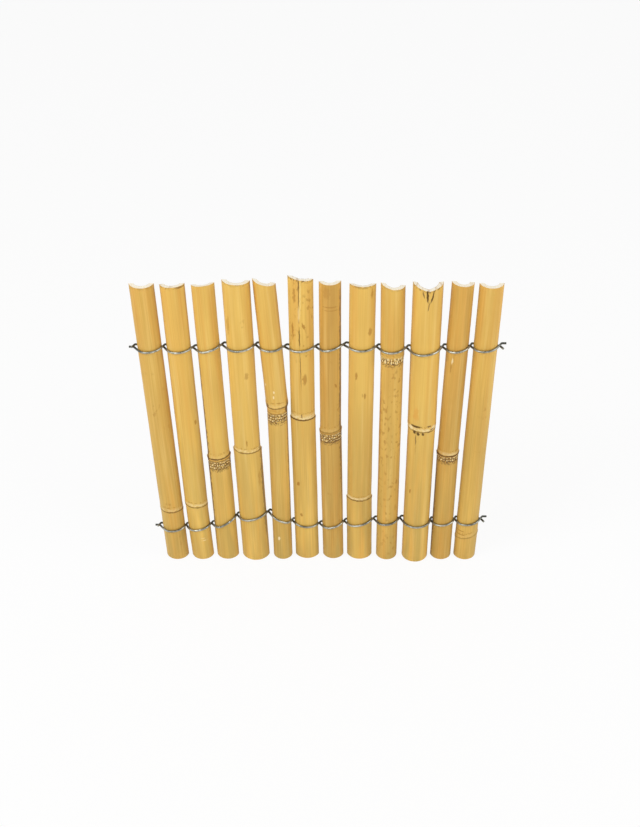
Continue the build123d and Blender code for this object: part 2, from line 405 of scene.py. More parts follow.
def round_the_wall(column):
    """Turn at a column, -1 and 1 at the split edges, and how far it is from the skin into the wall."""
    outer_turn = column.ramp(0, ARC_COLUMNS) * 2 - 1
    inner_turn = column.ramp(HOLLOW_END, HOLLOW_START) * 2 - 1
    into_wall = column.ramp(ARC_COLUMNS, HOLLOW_START) - column.ramp(HOLLOW_END, COLUMNS)
    return outer_turn.lower_of(inner_turn), into_wall


def cane_wall(tree, size):
    """The wall of a split cane, closed at both ends, with its node ring, its web and its saw cut."""
    node = size["Node Height"]
    depth = size["Depth"]
    cut_height = size["Cut Height"]
    web = WEB_THICKNESS / 2

    # Number of levels in each zone from the feet up, and its height. One more level closes each end.
    zones = (
        (26, node - RING_FADE),
        (14, RING_FADE - web - WEB_STEP),
        (1, WEB_STEP),
        (8, 2 * web),
        (1, WEB_STEP),
        (14, RING_FADE - web - WEB_STEP),
        (30, cut_height - node - RING_FADE - CUT_ZONE),
        (12, CUT_ZONE),
    )
    levels = 1 + sum(count for count, length in zones) + 1
    grid = tree.add("GeometryNodeMeshGrid", None, {"Vertices X": COLUMNS + 1, "Vertices Y": levels + 1})
    places = tree.add("ShaderNodeSeparateXYZ", None, {0: grid["UV Map"]})
    column = places["X"] * COLUMNS
    level = places["Y"] * levels

    height = 0.0
    start = 1
    for count, length in zones:
        height = height + level.ramp(start, start + count) * length
        start += count
    cap = level.ramp(1, 0).higher_of(level.ramp(levels - 1, levels))
    turn, into_wall = round_the_wall(column)
    into_wall = into_wall + (0.5 - into_wall) * cap

    # Place of each point: between the skin and the hollow, with the top cut at a slant
    half, growth = cane_front(tree, size, turn, height)
    closed = height.ramp(node - web - WEB_STEP, node - web) - height.ramp(node + web, node + web + WEB_STEP)
    hollow = ((depth - CANE_WALL) * (1 - closed)).higher_of(LEAST_HOLLOW)
    outer_right, outer_back, outer_run = half_round(turn, half + growth, depth + growth)
    inner_right, inner_back, inner_run = half_round(turn, half - CANE_WALL, hollow)
    right = outer_right + (inner_right - outer_right) * into_wall
    back = outer_back + (inner_back - outer_back) * into_wall
    run = outer_run + (inner_run - outer_run) * into_wall
    x = cane_middle(size, height) + right
    tooth = tree.noise(tree.vector(x / TOOTH_WIDTH, size["Seed"], 0.0), detail=3.0)
    middle = abs(right).ramp(half, 0.0)
    cut = right * size["Side Slope"] + back * size["Front Slope"] - middle * size["Notch"]
    cut = cut - tooth * size["Raggedness"]
    z = height + cut * height.ramp(cut_height - CUT_ZONE, cut_height, smooth=True)
    wall = tree.add("GeometryNodeSetPosition", None,
                    {"Geometry": grid, "Position": tree.vector(x, back + SPLIT_Y, z)})

    # What the material reads
    in_hollow = column.over(HOLLOW_START) * (1 - column.over(HOLLOW_END))
    kind = column.over(ARC_COLUMNS) * SPLIT_FACE
    kind = kind.higher_of(in_hollow * HOLLOW_FACE).higher_of(cap.over(CAP_SHARE) * SAWN_FACE)
    wall = tree.store(wall, SURFACE_MAP, tree.vector(run, height, 0.0), "CORNER", "FLOAT2")
    wall = tree.store(wall, WALL_SHARE, into_wall, "CORNER")
    wall = tree.store(wall, FACE_KIND, kind, "FACE")
    wall = tree.add("GeometryNodeMergeByDistance", None, {"Geometry": wall, "Distance": WELD_DISTANCE})
    return tree.shade(wall, CANE_CREASE)


def root_scars(tree, size):
    """Rows of small knobs just below the node ring."""
    index = tree.add("GeometryNodeInputIndex")
    row = index.math("FLOOR", index / ROOTS_PER_ROW)
    along_row = index - row * ROOTS_PER_ROW + 0.5 * row + tree.random(*ROOT_SHIFT, seed=3)
    turn = along_row / ROOTS_PER_ROW * ROW_SPAN + ROW_START
    lean = turn * size["Lower Width"] * size["Node Tilt"] / 2
    height = size["Node Height"] + lean - size["Root Drop"] - row * ROOT_PITCH
    height = height - tree.random(0.0, ROOT_STRAY, seed=5)
    half, growth = cane_front(tree, size, turn, height)
    right, back = half_round(turn, half + growth, size["Depth"] + growth)[:2]
    place = tree.vector(cane_middle(size, height) + right, back + SPLIT_Y, height)
    count = size["Root Rows"] * ROOTS_PER_ROW
    points = tree.add("GeometryNodePoints", None, {"Count": count, "Position": place})

    knob = tree.add("GeometryNodeMeshIcoSphere", None, {"Radius": KNOB_RADIUS, "Subdivisions": 2})
    knob = tree.store(knob, FACE_KIND, float(ROOT_FACE), "FACE")
    knob = tree.add("GeometryNodeSetShadeSmooth", None, {"Geometry": knob})
    width = tree.random(*KNOB_SIZES, seed=7)
    length = width * tree.random(*KNOB_STRETCH, seed=9) * size["Root Length"]
    scale = tree.vector(width, width * KNOB_FLATNESS, length)
    return tree.add("GeometryNodeInstanceOnPoints", None,
                    {"Points": points, "Instance": knob, "Scale": scale})


def cane_tree():
    """A split cane: its wall, and the root scars below its node."""
    sizes = {label: "NodeSocketFloat" for label in CANE_SIZES}
    sizes["Root Rows"] = "NodeSocketInt"
    sizes["Skin"] = "NodeSocketMaterial"
    tree, size = geometry_tree("split cane", sizes)
    wall = cane_wall(tree, size)
    roots = root_scars(tree, size)
    joined = tree.add("GeometryNodeJoinGeometry", None, {"Geometry": [wall, roots]})
    finish_tree(tree, joined, size["Skin"])
    return tree.nodes


# Looks of the canes

@dataclass
class Mark:
    """A crack, spot or scar on a cane's skin, or a strip of painted shade along its edge, in millimetres.
    """

    colour: tuple
    height: float         # above the feet
    across: float         # to the right of the cane's middle
    length: float
    width: float
    slant: float = 0.0    # millimetres to the right for each millimetre up
    share: float = 0.9    # how much of the skin's colour it takes


@dataclass
class Look:
    """How one cane differs from the others. Lengths are in millimetres."""

    tone: float                # 0 pale gold, 1 dark tan
    streaks: float = 0.35      # strength of the lengthwise streaks
    specks: float = 0.1        # how many small brown blotches
    speck_foot: float = -10    # height below which there are none
    speck_top: float = 170     # height above which there are none
    ring: float = 0.5          # share of the full ring height
    tilt: float = 0.0          # degrees by which the node rises to the right
    scar: float = 0.7          # darkness of the scar line
    ledge: float = 0.3         # paleness of the ledge above the scar line
    ledge_top: float = 2.3     # height of that ledge
    roots: int = 0             # rows of root scars below it
    root_drop: float = 1.2     # from the scar line down to the first row
    root_length: float = 1.0   # stretch of the root scars along the cane
    ragged: float = 0.12       # how far the saw has torn the top
    notch: float = 0.0         # how far the top dips in the middle
    soil: float = 0.0          # dark stain along the sawn rim
    crack: float = 0.0         # depth of a drying crack from the top down
    crack_across: float = 0.0  # where it is, to the right of the middle
    crack_foot: float = 140    # height at which it runs out
    marks: tuple = ()


LOOKS = [
    Look(0.60, streaks=0.5, specks=0.4, soil=0.3),
    Look(0.15, streaks=0.3, tilt=-2, scar=0.75, ledge=0.55, ragged=0.4, soil=0.7, marks=(
        Mark(BARK, 82, 4.5, 2.6, 1.2, share=0.7),
        Mark(CREAM, 11.8, 2.2, 0.5, 3.0, share=0.7),
        Mark(CREAM, 13.2, 1.6, 0.4, 2.2, share=0.5),
        Mark(UMBER, 152.9, 4.5, 0.8, 4.5, share=0.6),
    )),
    Look(0.26, ring=0.7, tilt=9, scar=0.95, ledge=0.1, roots=3, root_drop=2.2, marks=(
        # Painted shade down the left edge
        Mark(UMBER, 64, -5.9, 110, 1.9, share=0.8),
    )),
    Look(0.18, streaks=0.3, specks=0.0, ring=0.25, scar=0.7, ledge=0.5, ledge_top=1.9,
         ragged=0.15, soil=0.4, marks=(
        Mark(BARK, 71.4, 0.3, 3.4, 0.7, share=0.8),
        Mark(BARK, 108.6, 2.3, 3.6, 1.6, share=0.5),
        Mark(BARK, 50, 5.2, 9.0, 1.4, share=0.4),
        Mark(BARK, 134, -5.0, 10, 1.6, 0.05, 0.4),
        # Painted shade down the right edge
        Mark(UMBER, 42, 7.3, 64, 1.7, share=0.6),
    )),
    Look(0.46, streaks=0.5, ring=1.0, tilt=3, scar=0.75, ledge=0.15, roots=3, root_drop=4.0, marks=(
        # Painted shadow beside the node at the left, and painted shade down the right edge
        Mark(UMBER, 91.4, -4.9, 2.2, 1.8, share=0.8),
        Mark(UMBER, 48, 5.7, 80, 1.4, share=0.5),
        Mark(UMBER, 89, 5.5, 9.0, 2.6, share=0.9),
        Mark(CREAM, 13, -1.5, 2.4, 0.9),
        Mark(CREAM, 99.6, -0.6, 1.4, 0.7),
        Mark(CREAM, 96.8, -0.9, 1.7, 0.7),
        Mark(CREAM, 102.6, -4.6, 1.6, 0.7, share=0.7),
    )),
    Look(0.24, streaks=0.8, specks=0.8, speck_foot=112, ring=0.35, scar=1.0, ledge=0.65, ledge_top=3.4,
         ragged=1.0, soil=1.0, crack=0.3, crack_across=-0.85, crack_foot=122, marks=(
        Mark(UMBER, 154.5, -0.85, 6.0, 0.55, share=0.8),
        Mark(UMBER, 148, -0.85, 12, 0.4, share=0.7),
        Mark(CREAM, 140, -1.0, 8.0, 0.7, share=0.4),
        Mark(CRACK, 128, -0.85, 10, 0.5, share=0.75),
        Mark(UMBER, 86.2, -0.4, 2.4, 0.5, share=0.8),
        Mark(UMBER, 112, -0.6, 22, 0.35, -0.02, 0.7),
        Mark(STRAW, 148, -0.2, 20, 0.6, 0.03, 0.9),
        Mark(BARK, 134, 1.0, 3.6, 1.1, -0.3, 0.8),
        Mark(BARK, 131, -3.9, 9.0, 0.9, share=0.8),
        Mark(BARK, 149, -2.9, 7.0, 1.4, share=0.65),
        Mark(BARK, 143, 3.3, 2.4, 1.2, share=0.5),
        Mark(BARK, 106, 1.1, 6.0, 1.9, share=0.7),
        Mark(BARK, 46.2, -3.3, 2.3, 1.6),
        Mark(BARK, 27.4, -2.0, 2.0, 1.5, share=0.85),
    )),
    Look(0.90, streaks=0.9, specks=0.3, ring=0.5, tilt=7, scar=0.5, ledge=0.1,
         roots=3, root_drop=1.6, marks=(
        Mark(BARK, 143.6, 0.0, 0.7, 7.5, share=0.6),
        Mark(BARK, 141.9, 0.4, 0.6, 5.6, share=0.5),
        Mark(BARK, 150.5, -1.5, 6.0, 4.0, share=0.35),
        Mark(BARK, 102.5, 2.4, 2.2, 1.0, -0.3, 0.9),
        # Painted shade down the right edge
        Mark(UMBER, 100, 5.3, 130, 1.7, share=0.7),
    )),
    Look(0.30, specks=0.0, ring=0.3, scar=0.8, ledge=0.65, ledge_top=1.8,
         ragged=0.2, notch=0.3, soil=0.7, marks=(
        Mark(BARK, 108, -2.4, 4.2, 1.1, share=0.75),
        Mark(BARK, 97.3, 1.7, 3.2, 0.9, share=0.75),
        Mark(BARK, 97.9, 0.5, 2.2, 0.5, share=0.6),
        Mark(BARK, 131, 3.6, 4.0, 1.8, share=0.65),
        Mark(BARK, 150, 4.2, 5.0, 1.0, share=0.6),
    )),
    Look(0.42, streaks=0.45, specks=1.0, speck_top=118, ring=0.35, scar=0.1, ledge=0.1,
         roots=2, root_drop=-1.0, root_length=2.4, ragged=0.15, notch=0.5, soil=0.3, marks=(
        # Painted shade down the left edge
        Mark(BARK, 70, -6.0, 84, 1.6, share=0.65),
    )),
    Look(0.18, streaks=0.3, specks=0.0, ring=0.3, tilt=-3, scar=0.6, ledge=0.7,
         ragged=0.3, notch=1.4, soil=0.9, crack=0.7, crack_across=-0.5, crack_foot=144, marks=(
        Mark(CRACK, 152, -0.5, 8.0, 0.8, -0.06),
        Mark(CRACK, 151, 1.6, 6.5, 0.7, 0.2),
        Mark(UMBER, 146, 0.2, 5.0, 0.5, 0.12, 0.8),
        Mark(UMBER, 152.2, -2.2, 3.6, 0.7, -0.2, 0.8),
        Mark(CRACK, 81.6, -3.4, 1.2, 5.2, share=0.9),
        Mark(UMBER, 81.7, 2.9, 0.8, 2.6, share=0.9),
        Mark(UMBER, 79.6, 4.7, 0.8, 2.2, share=0.8),
        Mark(UMBER, 78.6, 3.1, 0.7, 1.8, share=0.7),
        Mark(CRACK, 78.4, -3.4, 2.0, 1.6),
        Mark(CRACK, 77.8, -1.9, 2.0, 1.3),
        Mark(CRACK, 77.8, 0.3, 1.7, 1.0),
        Mark(CREAM, 80.2, -5.8, 2.4, 1.6, share=0.8),
        Mark(CREAM, 80.6, 5.6, 1.6, 1.8, share=0.8),
        Mark(UMBER, 74.0, -2.9, 6.0, 0.5, share=0.8),
        Mark(BARK, 68.5, -2.8, 6.0, 0.35, share=0.5),
        Mark(HONEY, 88.5, -3.2, 7.0, 2.6, share=0.8),
        Mark(BARK, 43.2, -4.4, 2.6, 0.9, share=0.85),
    )),
    Look(0.80, streaks=0.7, specks=0.2, ring=0.65, scar=1.0, ledge=0.4, roots=2, root_drop=1.0, marks=(
        # Painted shade down the left edge
        Mark(UMBER, 30, -6.3, 66, 1.6, share=0.65),
        Mark(CREAM, 116.3, -2.2, 3.4, 0.7, share=0.8),
        Mark(BARK, 112.5, -2.6, 5.0, 0.7, share=0.6),
    )),
    Look(0.50, streaks=0.6, specks=0.2, ring=0.5, tilt=12, scar=0.4, ledge=0.1, marks=(
        Mark(BARK, 17.5, -3.9, 0.7, 4.0, share=0.7),
        Mark(BARK, 15.2, -3.6, 0.7, 4.0, share=0.7),
    )),
]


SPECK_FADE = 8               # millimetres over which the blotches thin out
WEATHERING_AND_SHADE_TOP = 120 * MM       # weathering and painted shade, darker at the feet, fade out from the feet up to here
EDGE_SHADE_FULL = 1.35            # run of the skin at which the painted edge shade is full, as a share of the half width
RIM_STAIN = 1.3 * MM         # length of the stain below the sawn rim
NODE_WANDER = 0.9 * MM       # how uneven the lines of a node are
MARK_WANDER = 1.4            # how uneven a mark is, as a share of its width
MARK_EDGE = (1.6, 0.25)      # square of the reach at which a mark ends, and at which it is full
BUNDLE_SCALE = 2600.0        # fibre bundles in a metre of a sawn end
RELIEF_DEPTH = 0.12 * MM     # of the fine grain and the fibres


class SkinMap:
    """Places on a cane's skin, in metres across and along it, and noise laid out along it."""

    def __init__(self, tree, number):
        surface = tree.add("ShaderNodeUVMap", {"uv_map": SURFACE_MAP})
        flat = tree.add("ShaderNodeSeparateXYZ", None, {0: surface})
        self.tree = tree
        self.across = flat["X"]
        self.along = flat["Y"]
        self.seed = number * SKIN_SEED_STEP

    def grain(self, width, length, layer, detail=2.0):
        """Noise in cells of this width and length, in millimetres. Each layer is different."""
        place = self.tree.vector(self.across / (width * MM), self.along / (length * MM), self.seed + layer)
        return self.tree.noise(place, detail)


def skin_tones(skin, look, fine):
    """Slow changes of tone, then broad and fine streaks along the cane, and small brown blotches."""
    blend = skin.tree.blend
    tone = skin.grain(7, 60, 0.1).ramp(0.3, 0.7) * 0.5 + (look.tone - 0.25)
    colour = blend(tone, GOLD, TAN)
    colour = blend(skin.grain(3.2, 90, 1.1).ramp(0.48, 0.7) * 0.55, colour, HONEY)
    colour = blend(skin.grain(2.2, 70, 2.1).ramp(0.52, 0.75) * 0.45, colour, STRAW)
    # Weathering and painted shade: khaki patches, darker towards the feet
    weathering_and_foot_shade = skin.along.ramp(WEATHERING_AND_SHADE_TOP, 0.0) * skin.grain(4, 45, 3.1).ramp(0.3, 0.62)
    colour = blend(weathering_and_foot_shade * 0.75, colour, KHAKI)
    colour = blend(fine.ramp(0.5, 0.8) * (0.4 * look.streaks + 0.1), colour, BARK)
    colour = blend(fine.ramp(0.45, 0.22) * 0.3, colour, STRAW)
    patch = skin.grain(4, 14, 5.1).ramp(0.72 - 0.36 * look.specks, 0.84 - 0.26 * look.specks)
    patch = patch * skin.along.band(look.speck_foot * MM, (look.speck_foot + SPECK_FADE) * MM,
                                    (look.speck_top - SPECK_FADE) * MM, look.speck_top * MM)
    blotch = skin.grain(1.5, 2.6, 6.1, detail=1.0).ramp(0.56, 0.68)
    return blend(blotch * patch * 0.6, colour, BARK)


def edge_shade_and_rim_dirt(skin, cane, look, colour):
    """Painted shade along the split edges, where the round skin turns away, and, where the saw left it, a
    darker stain along the sawn rim.
    """
    blend = skin.tree.blend
    rim = cane.foot_width / 2
    # Painted shade: darker towards both split edges, in broken streaks
    edge = abs(skin.across).ramp(rim, rim * EDGE_SHADE_FULL, smooth=True)
    edge = edge * skin.grain(1.5, 30, 7.1).ramp(0.25, 0.6)
    colour = blend(edge * 0.55, colour, BARK)
    top = CANE_LENGTH + cane.top
    dirt = skin.along.ramp(top - RIM_STAIN, top) * skin.grain(0.9, 1.2, 8.1, detail=3.0).ramp(0.42, 0.58)
    return blend(dirt * look.soil, colour, UMBER)


def past_node(skin, cane, look):
    """How far up a place is from the middle of a node, which is tilted and a little uneven."""
    past = skin.along - cane.node - skin.across * math.tan(math.radians(look.tilt))
    return past + (skin.grain(1.1, 1.1, 9.1, detail=3.0) - 0.5) * NODE_WANDER


def node_lines(skin, look, past):
    """Shares of the dark scar line, and of the pale broken ledge above it."""
    scar = past.band(-0.75 * MM, -0.4 * MM, 0.0, 0.3 * MM)
    scar = scar * skin.grain(2.6, 2.6, 12.1).ramp(0.12, 0.4)
    ledge = past.band(0.1 * MM, 0.5 * MM, 0.8 * MM, look.ledge_top * MM)
    ledge = ledge * skin.grain(1.4, 0.6, 10.1, detail=3.0).ramp(0.36, 0.54)
    return scar, ledge


def node_colours(skin, look, past, scar, ledge, colour):
    """The ledge with short dashes at its top, and the scar line."""
    blend = skin.tree.blend
    colour = blend(ledge * look.ledge, colour, CREAM)
    top = look.ledge_top * MM
    dashes = past.band(top - 0.6 * MM, top, top + 0.2 * MM, top + 0.9 * MM)
    colour = blend(dashes * skin.grain(0.8, 0.7, 11.1).ramp(0.5, 0.62) * 0.7, colour, BARK)
    return blend(scar * look.scar, colour, UMBER)


def root_colours(skin, look, past, colour):
    """An amber band under the scar line, a second line, dark pits between the knobs, and frayed ends."""
    blend = skin.tree.blend
    first = -look.root_drop * MM
    last = first - look.roots * ROOT_PITCH
    amber = past.band(first, first + 0.5 * MM, -0.9 * MM, -0.4 * MM)
    amber = amber * skin.grain(1.3, 1.0, 24.1, detail=3.0).ramp(0.28, 0.6)
    colour = blend(amber * 0.6, colour, AMBER)
    second = past.band(first + 0.1 * MM, first + 0.3 * MM, first + 0.6 * MM, first + 0.9 * MM)
    second = second * skin.grain(1.6, 1.0, 23.1).ramp(0.3, 0.5)
    colour = blend(second * look.scar * 0.8, colour, UMBER)
    rows = past.band(last - 0.4 * MM, last, first - 0.2 * MM, first + 0.3 * MM)
    colour = blend(rows * skin.grain(0.55, 0.75, 13.1).ramp(0.4, 0.5) * 0.9, colour, UMBER)
    frayed = past.band(last - 1.8 * MM, last - 1.0 * MM, last - 0.5 * MM, last + 0.2 * MM)
    return blend(frayed * skin.grain(0.7, 0.9, 14.1).ramp(0.48, 0.58) * 0.6, colour, UMBER)


def skin_marks(skin, look, colour, pits):
    """The marks of one cane, with its cracks added to the pits."""
    wander = skin.grain(1.2, 2.2, 15.1, detail=3.0) - 0.5
    for mark in look.marks:
        up = skin.along - mark.height * MM
        side = skin.across + wander * (mark.width * MARK_WANDER * MM) - mark.across * MM - up * mark.slant
        reach = side / (mark.width / 2 * MM)
        rise = up / (mark.length / 2 * MM)
        blot = (reach * reach + rise * rise).ramp(*MARK_EDGE, smooth=True)
        colour = skin.tree.blend(blot * mark.share, colour, mark.colour)
        if mark.colour == CRACK:
            pits = pits.higher_of(blot)
    return colour, pits


def split_wood(skin, fibre):
    """Pale fibrous wood of the split edges."""
    colour = skin.tree.blend(fibre.ramp(0.35, 0.7), STRAW, HONEY)
    return skin.tree.blend(skin.grain(0.9, 9, 17.1).ramp(0.52, 0.7) * 0.5, colour, BARK)


def hollow_lining(skin):
    """Papery lining of the hollow."""
    blend = skin.tree.blend
    colour = blend(skin.grain(0.6, 14, 18.1, detail=4.0).ramp(0.35, 0.7), CREAM, STRAW)
    colour = blend(skin.grain(1.6, 30, 19.1).ramp(0.5, 0.68) * 0.5, colour, KHAKI)
    return blend(skin.grain(0.5, 6, 20.1, detail=3.0).ramp(0.58, 0.7) * 0.6, colour, BARK)


def sawn_wood(skin, look):
    """Pith with fibre bundles, stained in places, between the rind and the dark lining."""
    tree = skin.tree
    solid = tree.add("ShaderNodeTexCoord")["Object"]
    in_wall = tree.add("ShaderNodeAttribute", {"attribute_name": WALL_SHARE})["Fac"]
    bundle = tree.add("ShaderNodeTexVoronoi", None, {"Vector": solid, "Scale": BUNDLE_SCALE})["Distance"]
    colour = tree.blend(bundle.ramp(0.45, 0.2) * in_wall.ramp(1.1, 0.1) * 0.7, PITH, HONEY)
    stain = skin.grain(2.5, 6, 21.1).ramp(0.55, 0.7)
    colour = tree.blend(stain * (0.15 + 0.4 * look.soil), colour, BARK)
    colour = tree.blend(in_wall.ramp(0.1, 0.02) * 0.7, colour, HONEY)
    return tree.blend(in_wall.ramp(0.88, 0.98) * (0.35 + 0.4 * look.soil), colour, BARK)


def cane_skin(number, cane, look):
    """Dried cane: a satin golden skin with streaks and node scars, and pale wood where it is cut."""
    material, tree = new_material(f"cane_{number:02d}_skin")
    skin = SkinMap(tree, number)
    fine = skin.grain(0.45, 38, 4.1, detail=4.0)
    fibre = skin.grain(0.3, 22, 16.1, detail=4.0)
    past = past_node(skin, cane, look)
    scar, ledge = node_lines(skin, look, past)
    colour = skin_tones(skin, look, fine)
    colour = edge_shade_and_rim_dirt(skin, cane, look, colour)
    colour = node_colours(skin, look, past, scar, ledge, colour)
    if look.roots:
        colour = root_colours(skin, look, past, colour)
    colour, pits = skin_marks(skin, look, colour, scar * look.scar)

    kind = tree.add("ShaderNodeAttribute", {"attribute_name": FACE_KIND})["Fac"]
    cut_faces = {
        SPLIT_FACE: split_wood(skin, fibre),
        HOLLOW_FACE: hollow_lining(skin),
        SAWN_FACE: sawn_wood(skin, look),
        ROOT_FACE: BUFF,
    }
    for face, face_colour in cut_faces.items():
        colour = tree.blend(kind.ramp(face - 1, face), colour, face_colour)

    raw = kind.ramp(0, SPLIT_FACE)
    shine = 0.5 + fine * 0.16 + raw * 0.25 + pits * 0.25
    relief = fine * 0.35 + skin.grain(0.22, 60, 22.1) * 0.25
    relief = relief + fibre * raw * 0.9 - pits * 1.2 + ledge * 0.3
    bump = tree.add("ShaderNodeBump", None, {"Strength": 0.55, "Distance": RELIEF_DEPTH, "Height": relief})
    tree.fill(material.node_tree.nodes["Principled BSDF"], {
        "Base Color": colour,
        "Roughness": shine,
        "Normal": bump,
        "Specular IOR Level": 0.4,
    })
    return material


# The wires

def centre_at(cane, height):
    """X of a cane's middle at a height."""
    straight = cane.foot_x + (cane.top_x - cane.foot_x) * height / CANE_LENGTH
    if height < cane.node:
        return straight + cane.bow * height / cane.node
    return straight + cane.bow * (CANE_LENGTH - height) / (CANE_LENGTH - cane.node)


def half_width_at(cane, height):
    """Half of a plain cane's width at a height."""
    return (cane.foot_width if height < cane.node else cane.top_width) / 2


def seat_circle(cane, height):
    """Centre and radius of the circle that a wire's middle follows round a cane's front."""
    half = half_width_at(cane, height)
    radius = (half**2 + cane.depth**2) / (2 * cane.depth)
    return Vector((centre_at(cane, height), SPLIT_Y - cane.depth + radius)), radius + SEAT_OFFSET


def crossings(row, sag):
    """Points in the gaps, and past both end canes, where the two wires of a row cross."""
    points = []
    for gap, rise in enumerate(sag):
        height = row + rise * MM
        if gap == 0:
            x = centre_at(CANES[0], height) - half_width_at(CANES[0], height) - TAIL_ROOM / 2
        elif gap == len(CANES):
            x = centre_at(CANES[-1], height) + half_width_at(CANES[-1], height) + TAIL_ROOM / 2
        else:
            left, right = CANES[gap - 1], CANES[gap]
            left_edge = centre_at(left, height) + half_width_at(left, height)
            right_edge = centre_at(right, height) - half_width_at(right, height)
            x = (left_edge + right_edge) / 2
        points.append(Vector((x, SPLIT_Y, height)))
    return points


def leaving_angle(middle, radius, crossing):
    """Angle, from the front of a cane, at which a taut wire leaves it for a crossing."""
    across = abs(crossing.x - middle.x)
    ahead = middle.y - crossing.y
    return math.atan2(across, ahead) - math.acos(radius / math.hypot(across, ahead))


def wire_route(row, sag, first_front):
    """Corner points and bend radii of one wire, which passes every other cane in front."""
    gaps = crossings(row, sag)
    seats = {}
    for number in range(0 if first_front else 1, len(CANES), 2):
        height = (gaps[number].z + gaps[number + 1].z) / 2
        middle, radius = seat_circle(CANES[number], height)
        left = leaving_angle(middle, radius, gaps[number])
        right = leaving_angle(middle, radius, gaps[number + 1])
        seats[number] = (middle, radius, left, right)

    points = []
    radii = []

    def add_corner(point, bend):
        points.append(point)
        radii.append(bend)

    def pass_front(number):
        middle, radius, left, right = seats[number]
        low = gaps[number].z - TWIST_RISE
        high = gaps[number + 1].z + TWIST_RISE
        level = (high - low) * LEVEL_SHARE
        quarter_turn = (left + right) / 4
        reach = radius / math.cos(quarter_turn)
        for angle, height in ((quarter_turn - left, low + level), (right - quarter_turn, high - level)):
            x = middle.x + reach * math.sin(angle)
            y = middle.y - reach * math.cos(angle)
            add_corner(Vector((x, y, height)), radius * FRONT_ROUND)

    def behind(gap, angle, side):
        """Where a wire that crosses a gap at an angle turns along the backs of the canes."""
        x = gaps[gap].x + side * SEAT_OFFSET / math.tan(angle)
        return Vector((x, SPLIT_Y + SEAT_OFFSET, gaps[gap].z + side * TWIST_RISE))

    last = len(CANES) - 1
    level_tail = Vector((TAIL_LENGTH, 0, 0))
    slant = Vector((math.cos(TAIL_ANGLE), math.sin(TAIL_ANGLE), 0)) * TAIL_LENGTH
    for number in range(len(CANES)):
        if number in seats:
            if number == 0:
                turn = behind(0, seats[0][2], -1)
                add_corner(turn - level_tail, 0.0)
                add_corner(turn, BACK_BEND)
            pass_front(number)
            if number == last:
                turn = behind(last + 1, seats[last][3], 1)
                add_corner(turn, BACK_BEND)
                add_corner(turn + level_tail, 0.0)
        else:
            came_at = seats[number - 1][3] if number > 0 else TAIL_ANGLE
            goes_at = seats[number + 1][2] if number < last else TAIL_ANGLE
            if number == 0:
                add_corner(gaps[0] - slant + Vector((0, 0, TWIST_RISE)), 0.0)
            add_corner(behind(number, came_at, 1), BACK_BEND)
            add_corner(behind(number + 1, goes_at, -1), BACK_BEND)
            if number == last:
                add_corner(gaps[-1] + Vector((slant.x, -slant.y, -TWIST_RISE)), 0.0)
    return points, radii


def wire_tree():
    """A round wire along a line of corners, each rounded to the bend stored on it."""
    sizes = {
        "Wire Radius": "NodeSocketFloat",
        "Sides": "NodeSocketInt",
        "Bend Steps": "NodeSocketInt",
        "Zinc": "NodeSocketMaterial",
    }
    tree, size = geometry_tree("binding wire", sizes)
    line = tree.add("GeometryNodeMeshToCurve", None, {"Mesh": size["Geometry"]})
    bend = tree.add("GeometryNodeInputNamedAttribute", {"data_type": "FLOAT"}, {"Name": "bend"})
    line = tree.add("GeometryNodeFilletCurve", {"mode": "POLY"},
                    {"Curve": line, "Count": size["Bend Steps"], "Radius": bend, "Limit Radius": True})
    ring = tree.add("GeometryNodeCurvePrimitiveCircle", None,
                    {"Resolution": size["Sides"], "Radius": size["Wire Radius"]})
    wire = tree.add("GeometryNodeCurveToMesh", None,
                    {"Curve": line, "Profile Curve": ring, "Fill Caps": True})
    finish_tree(tree, tree.shade(wire, WIRE_CREASE), size["Zinc"])
    return tree.nodes


def corner_line(name, points, radii):
    """A mesh line through the corners of a wire, with each corner's bend radius."""
    line = bpy.data.meshes.new(name)
    line.from_pydata(points, [(index, index + 1) for index in range(len(points) - 1)], [])
    line.attributes.new("bend", "FLOAT", "POINT").data.foreach_set("value", radii)
    return line


SPANGLE_SCALE = 900.0              # bright spangles in a metre of wire
PATCH_SCALE = 160.0                # dark patches in a metre of wire
BEHIND_SHADE_START = SPLIT_Y - 2.6 * MM   # where the painted shade starts, towards the back of the canes
BEHIND_SHADE_FULL = SPLIT_Y - 0.4 * MM


def zinc_wire():
    """Galvanised binding wire: dull grey zinc in patches, with painted shade where the wires pass behind
    the canes and twist.
    """
    material, tree = new_material("zinc_wire")
    solid = tree.add("ShaderNodeTexCoord")["Object"]
    spangle = tree.add("ShaderNodeTexNoise", None, {"Vector": solid, "Scale": SPANGLE_SCALE, "Detail": 3.0})
    patch = tree.add("ShaderNodeTexNoise", None, {"Vector": solid, "Scale": PATCH_SCALE, "Detail": 2.0})
    colour = tree.blend(spangle.ramp(0.35, 0.65), DULL_ZINC, BRIGHT_ZINC)
    colour = tree.blend(patch.ramp(0.5, 0.7) * 0.6, colour, DARK_ZINC)
    behind = tree.add("ShaderNodeSeparateXYZ", None, {0: solid})["Y"]
    # Painted shade: darker where the wire passes behind the canes
    colour = tree.blend(behind.ramp(BEHIND_SHADE_START, BEHIND_SHADE_FULL) * 0.8, colour, DARK_ZINC)
    tree.fill(material.node_tree.nodes["Principled BSDF"], {
        "Base Color": colour,
        "Roughness": 0.2 + spangle * 0.2,
        "Metallic": 0.9,
    })
    return material


def add_piece(piece, node):
    """Set a finished piece on the frame in place of its CAD node."""
    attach(piece, "root")
    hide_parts(node)


